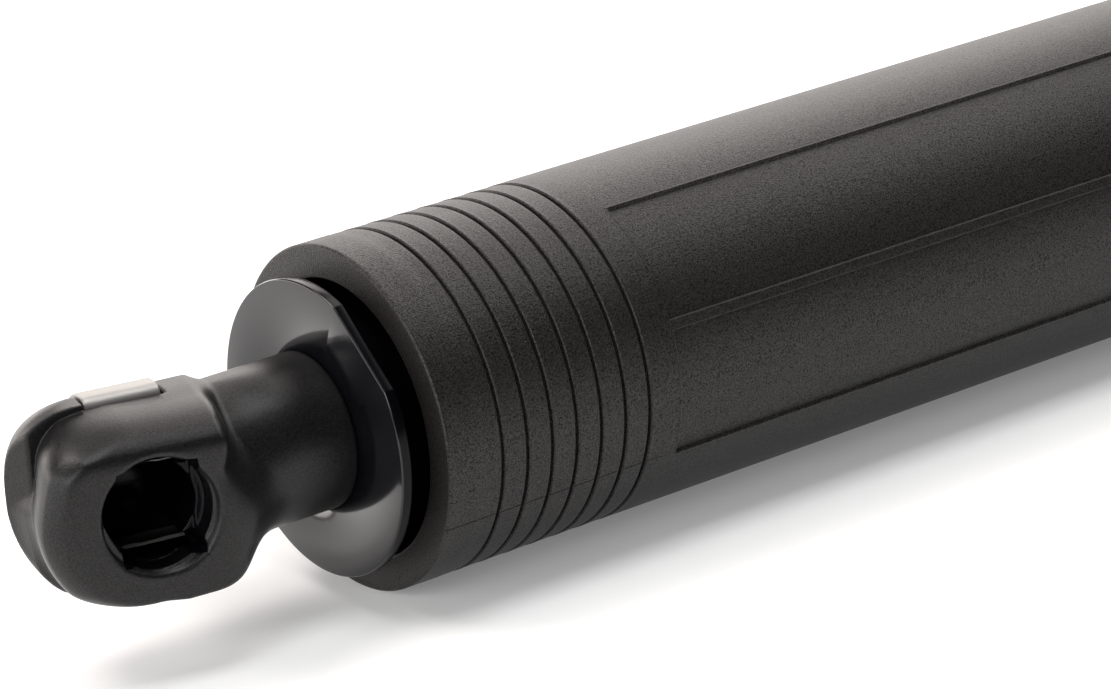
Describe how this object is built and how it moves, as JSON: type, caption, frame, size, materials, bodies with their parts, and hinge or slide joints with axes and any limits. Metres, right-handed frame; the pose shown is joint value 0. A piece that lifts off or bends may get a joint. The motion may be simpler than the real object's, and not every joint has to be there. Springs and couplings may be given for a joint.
{
  "type": "powered tailgate strut",
  "caption": "Powered tailgate strut: telescoping tubes driven by a motor, planet gears and spindle beside a coil spring, with a clipped ball socket at each end.",
  "frame": {"origin": "centre of the near ball socket's seat, at the cover tube's end", "axes": "+X along the tubes towards the far ball socket; the mouths of both ball sockets open towards -Y, each turned 13.2 degrees away from the middle of the strut; +Z completes a right-handed frame. The strut is stored at its full length."},
  "size_m": [0.693, 0.038, 0.038],
  "materials": {
    "socket_nylon": "satin black glass-filled nylon",
    "clip_steel": "satin spring steel sheet",
    "cover_plastic": "fine-grained matte warm black plastic",
    "plug_plastic": "semi-gloss black plastic",
    "seal_rubber": "black rubber",
    "wire_steel": "oiled steel",
    "black_plastic": "black plastic",
    "white_plastic": "natural acetal",
    "push_aluminium": "drawn aluminium",
    "spring_steel": "dark coated spring wire",
    "housing_paint": "satin black coat on steel tube",
    "cast_metal": "die-cast",
    "bearing_steel": "ground steel",
    "cage_brass": "pressed brass",
    "shaft_steel": "turned steel",
    "gearbox_plastic": "dark grey moulded plastic",
    "motor_steel": "plated steel can",
    "magnet_grey": "dull dark grey magnet",
    "armature_steel": "laminated steel",
    "copper": "copper",
    "carbon": "carbon",
    "board_green": "green circuit board"
  },
  "bodies": {
    "cover_side": {"upper_ball_socket": "socket_nylon", "upper_end_plug": "plug_plastic", "cover_tube": "cover_plastic", "cover_seal": "seal_rubber", "cover_lock_ring": "wire_steel", "cover_slide_ring": "black_plastic", "upper_spring_seat": "black_plastic", "push_tube": "push_aluminium", "spindle_nut": "white_plastic", "spring": "spring_steel"},
    "drive_side": {"housing_tube": "housing_paint", "housing_slide_ring": "white_plastic", "spring_sleeve": "white_plastic", "lower_spring_seat": "black_plastic", "bearing_housing": "cast_metal", "bearing_outer_ring": "bearing_steel", "bearing_snap_ring": "wire_steel", "gearbox_damper": "seal_rubber", "gearbox_housing": "gearbox_plastic", "motor_plate": "cast_metal", "motor_can": "motor_steel", "motor_magnets": "magnet_grey", "front_bush": "cage_brass", "brush_holder": "black_plastic", "brushes": "carbon", "brake_housing": "black_plastic", "sensor_board": "board_green", "motor_damper": "seal_rubber", "lower_end_plug": "plug_plastic", "lower_seal": "seal_rubber", "cable_gland": "seal_rubber", "lower_ball_socket": "socket_nylon"},
    "spindle_group": {"spindle": "shaft_steel", "spindle_tip_guide": "white_plastic", "tip_clip": "wire_steel", "spindle_lock_nut": "wire_steel", "drive_pin": "shaft_steel", "output_carrier": "cast_metal", "output_pins": "shaft_steel", "bearing_inner_ring": "bearing_steel"},
    "ball_ring": {"bearing_balls": "bearing_steel", "bearing_cage": "cage_brass"},
    "input_group": {"input_carrier": "cast_metal", "input_pins": "shaft_steel", "output_sun": "shaft_steel"},
    "rotor": {"motor_shaft": "shaft_steel", "armature": "armature_steel", "windings": "copper", "commutator": "copper", "input_sun": "shaft_steel", "brake_disc": "shaft_steel", "sensor_magnet": "magnet_grey"},
    "output_planet_1": {"output_planet_1": "white_plastic"},
    "output_planet_2": {"output_planet_2": "white_plastic"},
    "output_planet_3": {"output_planet_3": "white_plastic"},
    "input_planet_1": {"input_planet_1": "white_plastic"},
    "input_planet_2": {"input_planet_2": "white_plastic"},
    "input_planet_3": {"input_planet_3": "white_plastic"},
    "upper_clip": {"upper_clip": "clip_steel"},
    "lower_clip": {"lower_clip": "clip_steel"}
  },
  "joints": [
    {"name": "extension", "type": "slide", "parent": "cover_side", "child": "drive_side", "axis": [1, 0, 0], "range_m": [-0.2, 0], "deforming": ["spring"]},
    {"name": "spindle_turn", "type": "hinge", "parent": "drive_side", "child": "spindle_group", "pos_m": [0.502, 0, 0], "axis": [1, 0, 0], "range_deg": [-4501, 1]},
    {"name": "ball_ring_turn", "type": "hinge", "parent": "drive_side", "child": "ball_ring", "pos_m": [0.502, 0, 0], "axis": [1, 0, 0], "range_deg": [-1771, 1]},
    {"name": "input_stage_turn", "type": "hinge", "parent": "drive_side", "child": "input_group", "pos_m": [0.532, 0, 0], "axis": [1, 0, 0], "range_deg": [-20255, 5]},
    {"name": "motor_turn", "type": "hinge", "parent": "drive_side", "child": "rotor", "pos_m": [0.58, 0, 0], "axis": [1, 0, 0], "range_deg": [-91130, 5]},
    {"name": "output_planet_1_turn", "type": "hinge", "parent": "spindle_group", "child": "output_planet_1", "pos_m": [0.5255, 0, 0.0081], "axis": [1, 0, 0], "range_deg": [-1, 12601]},
    {"name": "output_planet_2_turn", "type": "hinge", "parent": "spindle_group", "child": "output_planet_2", "pos_m": [0.5255, -0.00702, -0.00405], "axis": [1, 0, 0], "range_deg": [-1, 12601]},
    {"name": "output_planet_3_turn", "type": "hinge", "parent": "spindle_group", "child": "output_planet_3", "pos_m": [0.5255, 0.00702, -0.00405], "axis": [1, 0, 0], "range_deg": [-1, 12601]},
    {"name": "input_planet_1_turn", "type": "hinge", "parent": "input_group", "child": "input_planet_1", "pos_m": [0.538, 0, 0.0081], "axis": [1, 0, 0], "range_deg": [-5, 56705]},
    {"name": "input_planet_2_turn", "type": "hinge", "parent": "input_group", "child": "input_planet_2", "pos_m": [0.538, -0.00702, -0.00405], "axis": [1, 0, 0], "range_deg": [-5, 56705]},
    {"name": "input_planet_3_turn", "type": "hinge", "parent": "input_group", "child": "input_planet_3", "pos_m": [0.538, 0.00702, -0.00405], "axis": [1, 0, 0], "range_deg": [-5, 56705]},
    {"name": "upper_clip_release", "type": "slide", "parent": "cover_side", "child": "upper_clip", "axis": [0.2284, 0.9736, 0], "range_m": [0, 0.0025]},
    {"name": "lower_clip_release", "type": "slide", "parent": "drive_side", "child": "lower_clip", "axis": [-0.2284, 0.9736, 0], "range_m": [0, 0.0025]}
  ],
  "couplings": [
    {"joint": "spindle_turn", "follows": "extension", "rad_per_m": 392.7},
    {"joint": "ball_ring_turn", "follows": "extension", "rad_per_m": 154.46},
    {"joint": "input_stage_turn", "follows": "extension", "rad_per_m": 1767.1},
    {"joint": "motor_turn", "follows": "extension", "rad_per_m": 7952.2},
    {"joint": "output_planet_1_turn", "follows": "extension", "rad_per_m": -1099.6},
    {"joint": "output_planet_2_turn", "follows": "extension", "rad_per_m": -1099.6},
    {"joint": "output_planet_3_turn", "follows": "extension", "rad_per_m": -1099.6},
    {"joint": "input_planet_1_turn", "follows": "extension", "rad_per_m": -4948},
    {"joint": "input_planet_2_turn", "follows": "extension", "rad_per_m": -4948},
    {"joint": "input_planet_3_turn", "follows": "extension", "rad_per_m": -4948}
  ]
}
